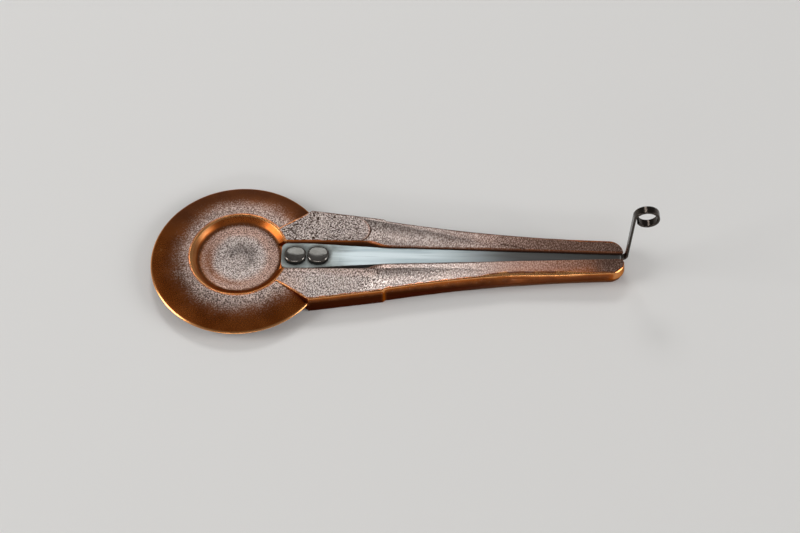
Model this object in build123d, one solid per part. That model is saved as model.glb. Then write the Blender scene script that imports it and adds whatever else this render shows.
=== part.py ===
from build123d import *
import os
from math import cos, hypot, radians, sin

# A cast jaw harp with a riveted steel reed, in millimetres.
# The origin is the centre of the grip disc on the flat underside. +X runs along the reed to the
# trigger, +Y across the arms, +Z up through the disc.

# Casting, overall
frame_thickness = 4.5
widest_height = 2.5           # height of the sharp outer edge above the underside
edge_bevel = 0.2              # eased top edges of shoulder and arms

# Grip disc
disc_radius = 18.8
rim_band = 0.35               # upright band at the disc's edge
base_radius = 11.5            # flat land under the disc
recess_radius = 10.2
recess_depth = 1.5
recess_wall_run = 1.5         # how far the recess wall leans in on its way down
recess_lip = 0.25             # bevel of the recess's upper edge
floor_flat_radius = 5.8       # level middle of the recess floor
floor_rise = 0.15             # lift of the floor where it meets the wall

# Shoulder block between disc and arms
shoulder_root_angle = 40.0    # where its sides leave the recess edge, from +X
shoulder_corner_x = 15.0
shoulder_corner_half = 11.5
shoulder_end_x = 30.3
shoulder_end_half = 9.25
shoulder_bevel = 0.15         # extra half width at the widest height

# Arms
notch_run = 0.6               # small step in the outline where the arms begin
notch_depth = 0.45
arm_middle_x = 54.2
arm_middle_half = 5.4
arm_tip_half = 3.8
arm_middle_bevel = 1.0
arm_tip_bevel = 0.95
arm_end_bevel = 0.25
arm_tip_x = 80.8              # at the top; the ends stand out by their bevel at the widest height
arm_tip_round = 2.9

# Reed
reed_thickness = 0.9
reed_tip_thickness = 0.5
heel_half = 3.25
heel_corner = 1.3
heel_end_gap = 0.2            # heel end to the foot of the recess wall
heel_taper_x = 14.0           # the heel starts to narrow here
reed_waist_x = 30.8
reed_waist_half = 2.1
reed_tip_half = 0.62
clamp_x = 21.0                # the tongue bends from this line on
knuckle_clearance = 0.05      # tongue root in the heel's hollow end

# Trigger, the bent-up end of the reed
tip_gap = 0.1                 # arm ends to the trigger's shank
bend_radius = 1.4             # to the middle of the strip
curl_height = 17.8            # middle of the curl above the underside
curl_radius = 2.4             # first half turn, to the middle of the strip
curl_end_radius = 2.15        # second turn, drawn in
curl_end_turn = 150.0         # degrees of the second turn
curl_half = 0.85
trigger_flare = 10.0          # the strip reaches full width this far above the arms

# Slot and pocket
slot_gap = 0.2                # reed edge to arm
pocket_gap = 0.2              # heel edge to pocket wall
pocket_end_x = 27.6
seat_overhang = 0.7           # the seat stops this far short of the clamp line
lip_height = 1.6              # upright part of the slot's wall, from the top
slot_undercut = 0.9           # the slot widens by this much to the underside

# Scoops along the tops of the arms
scoop_radius = 10.0
scoop_depth = 0.55            # where the scoop starts; it runs out at its far end
scoop_start = (27.0, 6.0)
scoop_end = (54.0, 1.6)
scoop_edge_inner_x = 25.2     # curved upper edge: at the pocket, at its bulge, at the outside
scoop_edge_bulge = (27.4, 7.6)
scoop_edge_outer_x = 26.4

# Rivets
rivet_rear_x = 11.8
rivet_pitch = 4.8
rivet_shank_radius = 1.2
rivet_clearance = 0.02
rivet_head_radius = 2.2
rivet_head_edge = 0.3
rivet_head_height = 0.85
rivet_tail_radius = 1.9
rivet_tail_depth = 0.9

# Sizes that follow
seat_z = frame_thickness - recess_depth
reed_top_z = seat_z + reed_thickness
clamp_z = seat_z + reed_thickness / 2
knuckle_radius = reed_thickness / 2
floor_radius = recess_radius - recess_wall_run
heel_end_x = floor_radius + heel_end_gap
pocket_half = heel_half + pocket_gap
slot_start_x = clamp_x - seat_overhang
slot_mouth_x = arm_tip_x + arm_tip_round
arm_end_x = arm_tip_x + arm_end_bevel
arm_root_x = shoulder_end_x + notch_run
arm_root_half = shoulder_end_half - notch_depth
shank_x = arm_end_x + tip_gap + reed_tip_thickness / 2
bend_x = shank_x - bend_radius
strip_z = reed_top_z - reed_tip_thickness / 2
rivet_xs = {"rear": rivet_rear_x, "front": rivet_rear_x + rivet_pitch}


def plan_prism(outline, bottom, top):
    """A closed outline drawn in plan, raised into a solid between two heights."""
    return Pos(0, 0, bottom) * extrude(make_face(outline), top - bottom)


def turned(profile):
    """A closed profile of (radius, height), turned about the Z axis."""
    return revolve(Plane.XZ * make_face(profile), Axis.Z)


def reed_half(x):
    """Half width of the reed: full at the heel, quick taper to the waist, slow taper to the tip."""
    if x <= heel_taper_x:
        return heel_half
    if x <= reed_waist_x:
        share = (x - heel_taper_x) / (reed_waist_x - heel_taper_x)
        return heel_half + (reed_waist_half - heel_half) * share
    share = (x - reed_waist_x) / (bend_x - reed_waist_x)
    return reed_waist_half + (reed_tip_half - reed_waist_half) * share


def disc():
    """The lens-shaped grip disc, still without its recess."""
    crest = (floor_radius, frame_thickness)
    rim_top = (disc_radius, widest_height + rim_band / 2)
    rim_bottom = (disc_radius, widest_height - rim_band / 2)
    return turned([
        Line((0, 0), (base_radius, 0)),
        TangentArc((base_radius, 0), rim_bottom, tangent=(1, 0)),
        Line(rim_bottom, rim_top),
        TangentArc(crest, rim_top, tangent=(1, 0)),
        Line(crest, (0, frame_thickness)),
        Line((0, frame_thickness), (0, 0)),
    ])


def recess():
    """The round dish in the disc: bevelled lip, leaning wall, floor that lifts at its edge."""
    above = frame_thickness + recess_depth
    foot = (floor_radius, seat_z + floor_rise)
    wall_length = hypot(recess_wall_run, recess_depth - floor_rise)
    lip_low = (
        recess_radius - recess_lip * recess_wall_run / wall_length,
        frame_thickness - recess_lip * (recess_depth - floor_rise) / wall_length,
    )
    lip_high = (recess_radius + recess_lip, frame_thickness)
    return turned([
        Line((0, seat_z), (floor_flat_radius, seat_z)),
        TangentArc((floor_flat_radius, seat_z), foot, tangent=(1, 0)),
        Line(foot, lip_low),
        Line(lip_low, lip_high),
        Line(lip_high, (lip_high[0], above)),
        Line((lip_high[0], above), (0, above)),
        Line((0, above), (0, seat_z)),
    ])


def fork_outline(z, shoulder_extra, middle_extra, tip_extra, end_extra):
    """Outline of shoulder and arms at one height, closed across inside the recess."""
    root_x = recess_radius * cos(radians(shoulder_root_angle))
    root_y = recess_radius * sin(radians(shoulder_root_angle))
    side_slope = (shoulder_corner_half - root_y) / (shoulder_corner_x - root_x)
    tip_half = arm_tip_half + tip_extra
    tip_x = arm_tip_x + end_extra
    tip_corner = arm_tip_round * (1 - cos(radians(45)))
    points = {
        "inner": (floor_flat_radius, root_y - side_slope * (root_x - floor_flat_radius)),
        "corner": (shoulder_corner_x, shoulder_corner_half + shoulder_extra),
        "end": (shoulder_end_x, shoulder_end_half + shoulder_extra),
        "root": (arm_root_x, arm_root_half + shoulder_extra),
        "middle": (arm_middle_x, arm_middle_half + middle_extra),
        "tip": (tip_x - arm_tip_round, tip_half),
        "tip_corner": (tip_x - tip_corner, tip_half - tip_corner),
        "tip_end": (tip_x, tip_half - arm_tip_round),
    }
    left = {name: (x, y, z) for name, (x, y) in points.items()}
    right = {name: (x, -y, z) for name, (x, y) in points.items()}
    edges = [Line(right["inner"], left["inner"]), Line(left["tip_end"], right["tip_end"])]
    for side in (left, right):
        edges += [
            Line(side["inner"], side["corner"]),
            Line(side["corner"], side["end"]),
            Line(side["end"], side["root"]),
            ThreePointArc(side["root"], side["middle"], side["tip"]),
            ThreePointArc(side["tip"], side["tip_corner"], side["tip_end"]),
        ]
    return Wire(edges)


def fork():
    """Shoulder and arms as one block, widest part-way up, with eased top edges."""
    narrow = (0, 0, 0, 0)
    wide = (shoulder_bevel, arm_middle_bevel, arm_tip_bevel, arm_end_bevel)
    eased = (-edge_bevel, -edge_bevel, -edge_bevel, -edge_bevel)
    levels = [
        fork_outline(0, *narrow),
        fork_outline(widest_height, *wide),
        fork_outline(frame_thickness - edge_bevel, *narrow),
        fork_outline(frame_thickness, *eased),
    ]
    return Solid.make_loft(levels, ruled=True)


def slot_outline(z, extra):
    """Outline of the slot at one height: pocket width, a drawn-in neck, then the reed's taper."""
    wide = pocket_half + extra
    waist_half = reed_waist_half + slot_gap + extra
    tip_half = reed_tip_half + slot_gap + extra
    edges = [
        Line((slot_start_x, -wide, z), (slot_start_x, wide, z)),
        Line((slot_mouth_x, tip_half, z), (slot_mouth_x, -tip_half, z)),
    ]
    for side in (1, -1):
        start = (slot_start_x, side * wide, z)
        pocket_end = (pocket_end_x, side * wide, z)
        neck = ((pocket_end_x + reed_waist_x) / 2, side * (wide + waist_half) / 2, z)
        waist = (reed_waist_x, side * waist_half, z)
        tip = (bend_x, side * tip_half, z)
        mouth = (slot_mouth_x, side * tip_half, z)
        edges += [
            Line(start, pocket_end),
            TangentArc(pocket_end, neck, tangent=(1, 0, 0)),
            TangentArc(waist, neck, tangent=(-1, 0, 0)),
            Line(waist, tip),
            Line(tip, mouth),
        ]
    return edges


def slot():
    """The slot that the tongue swings through: upright lips, then undercut to the underside."""
    lip_z = frame_thickness - lip_height
    upright = plan_prism(slot_outline(0, 0), lip_z, frame_thickness + lip_height)
    levels = [Wire(slot_outline(0, slot_undercut)), Wire(slot_outline(lip_z, 0))]
    undercut = Solid.make_loft(levels, ruled=True)
    return upright + undercut


def pocket():
    """The seat of the heel: level with the recess floor, and open into it and into the slot."""
    length = slot_start_x - floor_flat_radius
    on_seat = (Align.MIN, Align.CENTER, Align.MIN)
    channel = Box(length, 2 * pocket_half, 2 * recess_depth, align=on_seat)
    return Pos(floor_flat_radius, 0, seat_z) * channel


def scoop():
    """A shallow trough along the top of the +Y arm: a leaning cylinder behind a curved edge."""
    rise = frame_thickness + scoop_radius
    start = Vector(*scoop_start, rise - scoop_depth)
    end = Vector(*scoop_end, rise)
    length = 2 * (end - start).length
    cutter = Plane(origin=start, z_dir=end - start) * Cylinder(scoop_radius, length)
    inner = (scoop_edge_inner_x, pocket_half - edge_bevel)
    outer = (scoop_edge_outer_x, shoulder_corner_half)
    region = plan_prism(
        [
            ThreePointArc(inner, scoop_edge_bulge, outer),
            Line(outer, (arm_tip_x, shoulder_corner_half)),
            Line((arm_tip_x, shoulder_corner_half), (arm_tip_x, 0)),
            Line((arm_tip_x, 0), (scoop_edge_inner_x, 0)),
            Line((scoop_edge_inner_x, 0), inner),
        ],
        seat_z,
        frame_thickness + recess_depth,
    )
    return cutter & region


def rivet_body(clearance):
    """Shank and countersunk tail of a rivet on the Z axis; with clearance, the hole for it."""
    shank = rivet_shank_radius + clearance
    tail = rivet_tail_radius + clearance
    return turned([
        Line((0, 0), (tail, 0)),
        Line((tail, 0), (shank, rivet_tail_depth)),
        Line((shank, rivet_tail_depth), (shank, reed_top_z)),
        Line((shank, reed_top_z), (0, reed_top_z)),
        Line((0, reed_top_z), (0, 0)),
    ])


def rivet():
    """A rivet on the Z axis: low domed head on the heel, tail peened flush with the underside."""
    edge_z = reed_top_z + rivet_head_edge
    top_z = reed_top_z + rivet_head_height
    head = turned([
        Line((0, reed_top_z), (rivet_head_radius, reed_top_z)),
        Line((rivet_head_radius, reed_top_z), (rivet_head_radius, edge_z)),
        TangentArc((0, top_z), (rivet_head_radius, edge_z), tangent=(1, 0)),
        Line((0, top_z), (0, reed_top_z)),
    ])
    return rivet_body(0) + head


def frame():
    """The casting: disc and fork in one piece, less recess, pocket, slot, scoops, rivet holes."""
    casting = disc() + fork()
    casting -= recess()
    casting -= pocket()
    casting -= slot()
    for trough in (scoop(), mirror(scoop(), about=Plane.XZ)):
        casting -= trough
    for x in rivet_xs.values():
        casting -= Pos(x, 0, 0) * rivet_body(rivet_clearance)
    return casting


def reed_heel():
    """The clamped end of the reed, rounded at the back and hollow at the clamp line."""
    corner = heel_corner * (1 - cos(radians(45)))
    edges = [
        Line((heel_end_x, heel_corner - heel_half), (heel_end_x, heel_half - heel_corner)),
        Line((clamp_x, reed_half(clamp_x)), (clamp_x, -reed_half(clamp_x))),
    ]
    for side in (1, -1):
        back = (heel_end_x, side * (heel_half - heel_corner))
        round_middle = (heel_end_x + corner, side * (heel_half - corner))
        round_end = (heel_end_x + heel_corner, side * heel_half)
        taper = (heel_taper_x, side * heel_half)
        clamp = (clamp_x, side * reed_half(clamp_x))
        edges += [
            ThreePointArc(back, round_middle, round_end),
            Line(round_end, taper),
            Line(taper, clamp),
        ]
    heel = plan_prism(edges, seat_z, reed_top_z)
    hollow = Cylinder(knuckle_radius + knuckle_clearance, 3 * heel_half)
    heel -= Pos(clamp_x, 0, clamp_z) * Rot(90, 0, 0) * hollow
    for x in rivet_xs.values():
        heel -= Pos(x, 0, 0) * rivet_body(rivet_clearance)
    return heel


def tongue_blade():
    """The tongue from its round root to the bend: flat on top, thinner and narrower to the tip."""
    back = clamp_x - knuckle_radius
    side_view = [
        ThreePointArc((clamp_x, reed_top_z), (back, clamp_z), (clamp_x, seat_z)),
        Line((clamp_x, seat_z), (bend_x, reed_top_z - reed_tip_thickness)),
        Line((bend_x, reed_top_z - reed_tip_thickness), (bend_x, reed_top_z)),
        Line((bend_x, reed_top_z), (clamp_x, reed_top_z)),
    ]
    slab = extrude(Plane.XZ * make_face(side_view), heel_half, both=True)
    edges = [
        Line((back, -reed_half(back)), (back, reed_half(back))),
        Line((bend_x, reed_tip_half), (bend_x, -reed_tip_half)),
    ]
    for side in (1, -1):
        waist = (reed_waist_x, side * reed_waist_half)
        edges += [
            Line((back, side * reed_half(back)), waist),
            Line(waist, (bend_x, side * reed_tip_half)),
        ]
    return slab & plan_prism(edges, seat_z, reed_top_z)


def trigger():
    """The bent-up end: quarter bend, upright shank, then a curl rolled away from the arms."""
    bend_end = (shank_x, strip_z + bend_radius)
    bend_middle = (
        bend_x + bend_radius * sin(radians(45)),
        strip_z + bend_radius * (1 - cos(radians(45))),
    )
    curl_start = (shank_x, curl_height)
    curl_top = (shank_x + curl_radius, curl_height + curl_radius)
    curl_side = (shank_x + 2 * curl_radius, curl_height)
    centre_x = curl_side[0] - curl_end_radius

    def on_curl(turn):
        x = centre_x + curl_end_radius * cos(radians(turn))
        return (x, curl_height - curl_end_radius * sin(radians(turn)))

    path = Plane.XZ * Wire([
        ThreePointArc((bend_x, strip_z), bend_middle, bend_end),
        Line(bend_end, curl_start),
        ThreePointArc(curl_start, curl_top, curl_side),
        ThreePointArc(curl_side, on_curl(curl_end_turn / 2), on_curl(curl_end_turn)),
    ])
    section = Plane(origin=(bend_x, 0, strip_z), x_dir=(0, 1, 0), z_dir=(1, 0, 0))
    strip = sweep(section * Rectangle(2 * curl_half, reed_tip_thickness), path)
    low = reed_top_z - reed_tip_thickness
    full = frame_thickness + trigger_flare
    top = curl_height + 2 * curl_radius
    front_view = Polyline(
        (-reed_tip_half, low),
        (reed_tip_half, low),
        (curl_half, full),
        (curl_half, top),
        (-curl_half, top),
        (-curl_half, full),
        close=True,
    )
    length = 2 * curl_radius + bend_radius + reed_tip_thickness
    flare = Pos(bend_x, 0, 0) * extrude(Plane.YZ * make_face(front_view), length)
    return strip & flare


def reed_tongue():
    """The moving part of the reed: tongue and trigger in one piece."""
    return tongue_blade() + trigger()


pieces = {
    "frame": frame(),
    "reed_heel": reed_heel(),
    "reed_tongue": reed_tongue(),
}
for place, x in rivet_xs.items():
    pieces["rivet_" + place] = Pos(x, 0, 0) * rivet()

os.makedirs("parts", exist_ok=True)
for name, piece in pieces.items():
    export_step(piece, "parts/" + name + ".step")
    print(name, round(piece.volume, 2), "mm3")
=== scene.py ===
import math
from types import SimpleNamespace

import bmesh
import bpy
import numpy as np
from mathutils import Matrix, Vector


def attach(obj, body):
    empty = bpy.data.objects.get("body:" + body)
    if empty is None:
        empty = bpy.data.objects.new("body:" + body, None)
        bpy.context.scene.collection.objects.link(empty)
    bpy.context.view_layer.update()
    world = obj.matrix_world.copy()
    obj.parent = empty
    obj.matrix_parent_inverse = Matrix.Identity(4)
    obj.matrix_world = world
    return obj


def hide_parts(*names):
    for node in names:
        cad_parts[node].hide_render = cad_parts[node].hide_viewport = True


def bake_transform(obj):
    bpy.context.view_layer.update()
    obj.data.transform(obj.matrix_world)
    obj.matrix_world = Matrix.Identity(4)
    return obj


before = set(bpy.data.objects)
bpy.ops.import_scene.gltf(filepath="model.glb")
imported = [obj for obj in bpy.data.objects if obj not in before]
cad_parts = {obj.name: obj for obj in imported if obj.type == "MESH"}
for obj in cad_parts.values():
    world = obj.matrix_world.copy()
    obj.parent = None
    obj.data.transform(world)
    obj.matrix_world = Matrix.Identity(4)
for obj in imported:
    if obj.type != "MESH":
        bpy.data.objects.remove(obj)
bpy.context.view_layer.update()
mm = 0.001
mergeWithin = 0.002 * mm  # points closer than this become one after a cut
scene = bpy.context.scene
scene.view_settings.view_transform = "Standard"
print("frame loaded:", sorted(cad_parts))


# small tools shared by the pieces; lengths are in millimetres until a mesh is made

def ease(start, end, value):
    # 0 before start, 1 after end, and the cubic 3t^2 - 2t^3 between
    t = np.clip((value - start) / (end - start), 0, 1)
    return t * t * (3 - 2 * t)


def bell(value, middle, width):
    # the bell curve exp(-d^2), d being the distance from the middle in widths
    return np.exp(-((value - middle) / width) ** 2)


def softMin(a, b, width):
    # the lower of two heights; where they are closer than width the crease is a parabola
    near = np.clip(width - np.abs(a - b), 0, None) / width
    return np.minimum(a, b) - near * near * width / 4


def softMax(a, b, width):
    return -softMin(-a, -b, width)


def largest(*arrays):
    return np.maximum.reduce(arrays)


def lumps(points, cell, seed):
    # value noise in -1..1: random numbers on a cubic lattice, blended between its eight corners
    table = np.random.default_rng(seed).uniform(-1, 1, (64, 64, 64))
    low = np.floor(points / cell).astype(int)
    t = points / cell - low
    t = t * t * (3 - 2 * t)
    total = 0
    for corner in np.ndindex(2, 2, 2):
        weight = np.prod(np.where(np.array(corner) == 1, t, 1 - t), axis=-1)
        at = (low + np.array(corner)) % 64
        total = total + weight * table[at[..., 0], at[..., 1], at[..., 2]]
    return total


def lineDistance(x, y, a, b):
    # distance in plan to the straight stroke from a to b
    ax, ay = a
    dx, dy = b[0] - ax, b[1] - ay
    t = np.clip(((x - ax) * dx + (y - ay) * dy) / (dx * dx + dy * dy), 0, 1)
    return np.hypot(x - ax - t * dx, y - ay - t * dy)


def arcThrough(x, a, b, c):
    # height at x of the circle through three points, on the side where the middle one lies
    ax, ay, bx, by, cx, cy = *a, *b, *c
    d = 2 * (ax * (by - cy) + bx * (cy - ay) + cx * (ay - by))
    sa, sb, sc = ax * ax + ay * ay, bx * bx + by * by, cx * cx + cy * cy
    ux = (sa * (by - cy) + sb * (cy - ay) + sc * (ay - by)) / d
    uy = (sa * (cx - bx) + sb * (ax - cx) + sc * (bx - ax)) / d
    radius = math.hypot(ax - ux, ay - uy)
    side = math.copysign(1, by - uy)
    return uy + side * np.sqrt(np.clip(radius ** 2 - (x - ux) ** 2, 0, None))


def fullTurn(count):
    return np.linspace(0, 2 * math.pi, count, endpoint=False)


def newPiece(name, mesh):
    piece = bpy.data.objects.new(name, mesh)
    scene.collection.objects.link(piece)
    return piece


def shell(name, rings):
    # loops of points joined by quads along the stations, each end closed by a fan to its middle;
    # the faces are turned over if the enclosed volume comes out negative
    stations, around = rings.shape[:2]
    here = np.arange(stations * around).reshape(stations, around)
    beside = np.roll(here, -1, axis=1)
    quads = np.stack([here[:-1], beside[:-1], beside[1:], here[1:]], -1).reshape(-1, 4)
    middle = here.size
    first = np.stack([np.full(around, middle), beside[0], here[0]], -1)
    last = np.stack([np.full(around, middle + 1), here[-1], beside[-1]], -1)
    points = np.concatenate([rings.reshape(-1, 3), [rings[0].mean(0), rings[-1].mean(0)]])
    flat = np.concatenate([quads[:, [0, 1, 2]], quads[:, [0, 2, 3]], first, last])
    a, b, c = (points[flat[:, k]] for k in range(3))
    turn = 1 if np.einsum("ij,ij->i", a, np.cross(b, c)).sum() > 0 else -1
    faces = quads[:, ::turn].tolist() + first[:, ::turn].tolist() + last[:, ::turn].tolist()
    mesh = bpy.data.meshes.new(name)
    mesh.from_pydata((points * mm).tolist(), [], faces)
    return newPiece(name, mesh)


def turnedShell(name, radii, heights, columns, lift=None):
    # a profile of (radius, height) carried round the Z axis; lift(x, y, z) may reshape it
    angle = fullTurn(columns)
    x = np.outer(radii, np.cos(angle))
    y = np.outer(radii, np.sin(angle))
    z = np.repeat(np.asarray(heights, float)[:, None], columns, axis=1)
    if lift is not None:
        z = lift(x, y, z)
    return shell(name, np.stack([x, y, z], -1))


def joined(name, base, others):
    # adds or cuts the other shells, one after another, keeps only the result and merges its doubles
    for other, how in others:
        step = base.modifiers.new(other.name, "BOOLEAN")
        step.operation, step.object, step.solver = how, other, "MANIFOLD"
    bpy.context.view_layer.update()
    graph = bpy.context.evaluated_depsgraph_get()
    mesh = bpy.data.meshes.new_from_object(base.evaluated_get(graph))
    for used in [base] + [other for other, how in others]:
        bpy.data.objects.remove(used)
    work = bmesh.new()
    work.from_mesh(mesh)
    bmesh.ops.remove_doubles(work, verts=work.verts, dist=mergeWithin)
    bmesh.ops.dissolve_degenerate(work, edges=work.edges, dist=mergeWithin)
    work.to_mesh(mesh)
    work.free()
    mesh.name = name
    return newPiece(name, mesh)


def finishShading(piece, angle):
    piece.data.shade_smooth()
    piece.data.set_sharp_from_angle(angle=math.radians(angle))


def vertexArrays(piece):
    # positions in millimetres and normals of all vertices
    mesh = piece.data
    place = np.zeros(len(mesh.vertices) * 3)
    normal = np.zeros(len(mesh.vertices) * 3)
    mesh.vertices.foreach_get("co", place)
    mesh.vertices.foreach_get("normal", normal)
    return place.reshape(-1, 3) / mm, normal.reshape(-1, 3)


def putMask(piece, name, values):
    layer = piece.data.attributes.new(name, "FLOAT", "POINT")
    layer.data.foreach_set("value", np.clip(values, 0, 1).astype(np.float32))


# the casting

casting = {
    # heights: top, sharp outer edge, floor of dish and pocket, underside of the fork
    "top": 4.5, "widest": 2.5, "seat": 3.0, "sole": 0.02,
    # disc: level crest, arcs of dome and underside, curve and foot of the rim
    "discRadius": 18.785, "landRadius": 11.5, "crest": 8.7, "domeBend": 28.86, "underBend": 12.62,
    "rimTurn": 0.9, "rimFoot": 0.16, "rimTuck": 0.3,
    "dent": ((-6.27, 10.97), 0.45, 0.07),  # place, radius, depth
    # dish: upper edge, level floor with a faint ring, lifted edge, leaning wall, flared lip
    "dishRadius": 10.2, "dishFlat": 5.8, "dishRise": 0.15, "dishRiseRun": 2.9,
    "dishRing": 0.025, "wallLean": 0.9, "wallFoot": 0.35, "lipLean": 0.22, "lipRound": 0.3,
    # shoulder and arms in plan, on the +Y side
    "forkRoot": 5.8, "shoulderRoot": (7.814, 6.556), "shoulderCorner": (15.0, 11.5),
    "shoulderEnd": (30.3, 9.25), "armRoot": (30.9, 8.8), "armMiddle": (54.2, 5.4),
    "armTip": (80.8, 3.8), "tipRound": 2.9,
    # how far the sides stand out at the widest height: shoulder, arm middle, arm tip, arm end
    "bevels": (0.15, 1.0, 0.95, 0.25),
    "easedEdge": 0.22, "wornEdge": 0.85, "wornFuller": 0.8, "leastArm": 0.06, "topLanes": 44,
    # slot and pocket, as half widths
    "pocketHalf": 3.45, "pocketEnd": 27.6, "waist": (30.8, 2.3), "slotTip": (80.0, 0.82),
    "lipHeight": 1.6, "undercut": 0.9, "slotRoll": 0.22, "armRoll": 0.16,
    # the bridge under the heel: ends, half width
    "seatStart": 4.0, "seatEnd": 20.3, "seatHalf": 4.5,
    # troughs: start and end of the middle line, depth at the start, radius across
    "farScoop": ((27.0, 6.0), (54.0, 1.6), 0.42, 11.5),
    "nearScoop": ((27.0, 6.3), (50.0, 4.4), 0.33, 11.0),
    "landLean": 0.2, "noseCentre": (23.5, 6.4), "noseReach": (3.9, 3.4), "noseX": 27.0, "noseSpan": 4.0,
    "tipFacet": (79.3, 3.85), "facetLean": 1.1, "facetFloor": 2.6, "facetFrom": 77.0,
    "scratch": ((10.41, 6.56), (11.85, 4.88)), "scratchDepth": 0.09,
    # waves of the sand-cast skin: height, cell, seed
    "skin": ((0.03, 5.0, 11), (0.014, 1.7, 12)),
}
flush = (0, 0, 0, 0)  # bevels of an outline that stands out nowhere


def shoulderSide(x, y):
    # signed distance in plan from the shoulder's slanting side, positive out over the dome
    rx, ry = casting["shoulderRoot"]
    cx, cy = casting["shoulderCorner"]
    length = math.hypot(cx - rx, cy - ry)
    return ((cx - rx) * (np.abs(y) - ry) - (cy - ry) * (x - rx)) / length


def slotHalf(x):
    # half width of the opening: pocket, an S-shaped neck, then a straight taper to the mouth
    wx, wy = casting["waist"]
    tx, ty = casting["slotTip"]
    neck = casting["pocketHalf"] + (wy - casting["pocketHalf"]) * ease(casting["pocketEnd"], wx, x)
    taper = wy + (ty - wy) * np.clip((x - wx) / (tx - wx), 0, 1)
    return np.where(x < wx, neck, taper)


def domeHeight(r):
    # level to the crest, then a circular arc falling away to the rim
    run = np.clip(r - casting["crest"], 0, None)
    bend = casting["domeBend"]
    return casting["top"] - bend + np.sqrt(bend ** 2 - run ** 2)


def castSkin(x, y, z):
    # the sand-cast unevenness: slow waves and smaller ones, added up
    spot = np.stack([x, y, z], -1)
    return sum(height * lumps(spot, cell, seed) for height, cell, seed in casting["skin"])


def discShell():
    # a lens: crest, dome arc, a quadratic curve round the rim, under-arc and flat land; it dips
    # under the shoulder
    size = casting
    radius, turn, foot = size["discRadius"], size["rimTurn"], size["rimFoot"]
    dome = np.linspace(8.0, radius - turn, 40)
    domeEnd = domeHeight(dome[-1])
    slope = (domeEnd - domeHeight(dome[-2])) / (dome[-1] - dome[-2])
    t = np.linspace(0.08, 1, 14)
    rimR = radius - turn * (1 - t) ** 2
    bendZ = domeEnd + turn * slope
    rimZ = domeEnd * (1 - t) ** 2 + 2 * t * (1 - t) * bendZ + size["widest"] * t ** 2
    down = np.radians(np.linspace(20, 90, 5))
    footR = radius - foot + foot * np.cos(down)
    footZ = size["widest"] - foot * np.sin(down)
    under = np.linspace(radius - size["rimTuck"], size["landRadius"], 18)
    underZ = size["underBend"] - np.sqrt(size["underBend"] ** 2 - (under - size["landRadius"]) ** 2)
    radii = np.concatenate([[3, 6], dome, rimR, footR, under, [8, 4]])
    heights = np.concatenate([[size["top"]] * 2, domeHeight(dome), rimZ, footZ, underZ, [0, 0]])

    def lift(x, y, z):
        r = np.hypot(x, y)
        above = ease(size["widest"] - 0.05, size["widest"] + 0.3, z)
        calm = 1 - 0.7 * ease(13, 17.5, r)
        (dentX, dentY), dentRadius, dentDepth = size["dent"]
        z = z + above * calm * castSkin(x, y, z)
        z = z - above * dentDepth * bell(np.hypot(x - dentX, y - dentY), 0, dentRadius)
        hidden = ease(-0.25, -0.8, shoulderSide(x, y)) * ease(8.2, 8.9, r) * (x > 0) * above
        return z + hidden * (np.minimum(z, size["seat"] - 0.15) - z)

    return turnedShell("disc", radii, heights, 420, lift)


def dishShell():
    # the cutter of the recess: level floor, faint ring, lifted edge, foot fillet, leaning wall, flare
    size = casting
    r = np.concatenate([
        np.linspace(1.5, 8.2, 26), np.linspace(8.3, 9.1, 9), np.linspace(9.25, 9.9, 5),
        np.linspace(10.0, 10.9, 10),
    ])
    lifted = np.clip((r - size["dishFlat"]) / size["dishRiseRun"], 0, None)
    floor = size["seat"] + size["dishRise"] * lifted ** 2
    floor = floor + size["dishRing"] * bell(r, size["dishFlat"], 0.3)
    wall = size["top"] - size["wallLean"] * (size["dishRadius"] - r)
    cone = softMax(floor, wall, size["wallFoot"])
    lip = size["top"] + 0.01 + size["lipLean"] * (r - size["dishRadius"] - 0.3)
    z = softMin(cone, lip, size["lipRound"])
    radii = np.concatenate([r, [11.6, 11.6, 4]])
    heights = np.concatenate([z, [5.2, 6, 6]])

    def lift(x, y, z):
        low = ease(5.0, 4.4, z)
        calm = 0.1 + 0.9 * ease(1.5, 3.5, np.hypot(x, y))
        return z + low * calm * 0.45 * castSkin(x + 1.3, y + 2.1, z)

    return turnedShell("dish", radii, heights, 300, lift)


def outerLine(share, bevels):
    # the fork's outline at one level, by stations: slanting side, shoulder, notch, arm arc, round tip
    size = casting
    shoulder, middle, tip, end = bevels
    rx, ry = size["shoulderRoot"]
    cx, cy = size["shoulderCorner"]
    ex, ey = size["shoulderEnd"]
    ax, ay = size["armRoot"]
    middleX, middleY = size["armMiddle"]
    tipX, tipY = size["armTip"][0] + end - size["tipRound"], size["armTip"][1] + tip
    leg, along = share
    legs = [leg == number for number in range(4)]
    swing = along * math.pi / 2
    slant = size["forkRoot"] + (cx - size["forkRoot"]) * along
    x = np.select(
        legs,
        [slant, cx + (ex - cx) * along, ex + (ax - ex) * along, ax + (tipX - ax) * along],
        tipX + size["tipRound"] * np.sin(swing),
    )
    slantY = ry + (cy - ry) / (cx - rx) * (slant - rx) + shoulder * along
    arm = arcThrough(x, (ax, ay + shoulder), (middleX, middleY + middle), (tipX, tipY))
    y = np.select(
        legs,
        [slantY, cy + shoulder + (ey - cy) * along, ey + shoulder + (ay - ey) * along, arm],
        tipY - size["tipRound"] * (1 - np.cos(swing)),
    )
    return x, y


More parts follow.
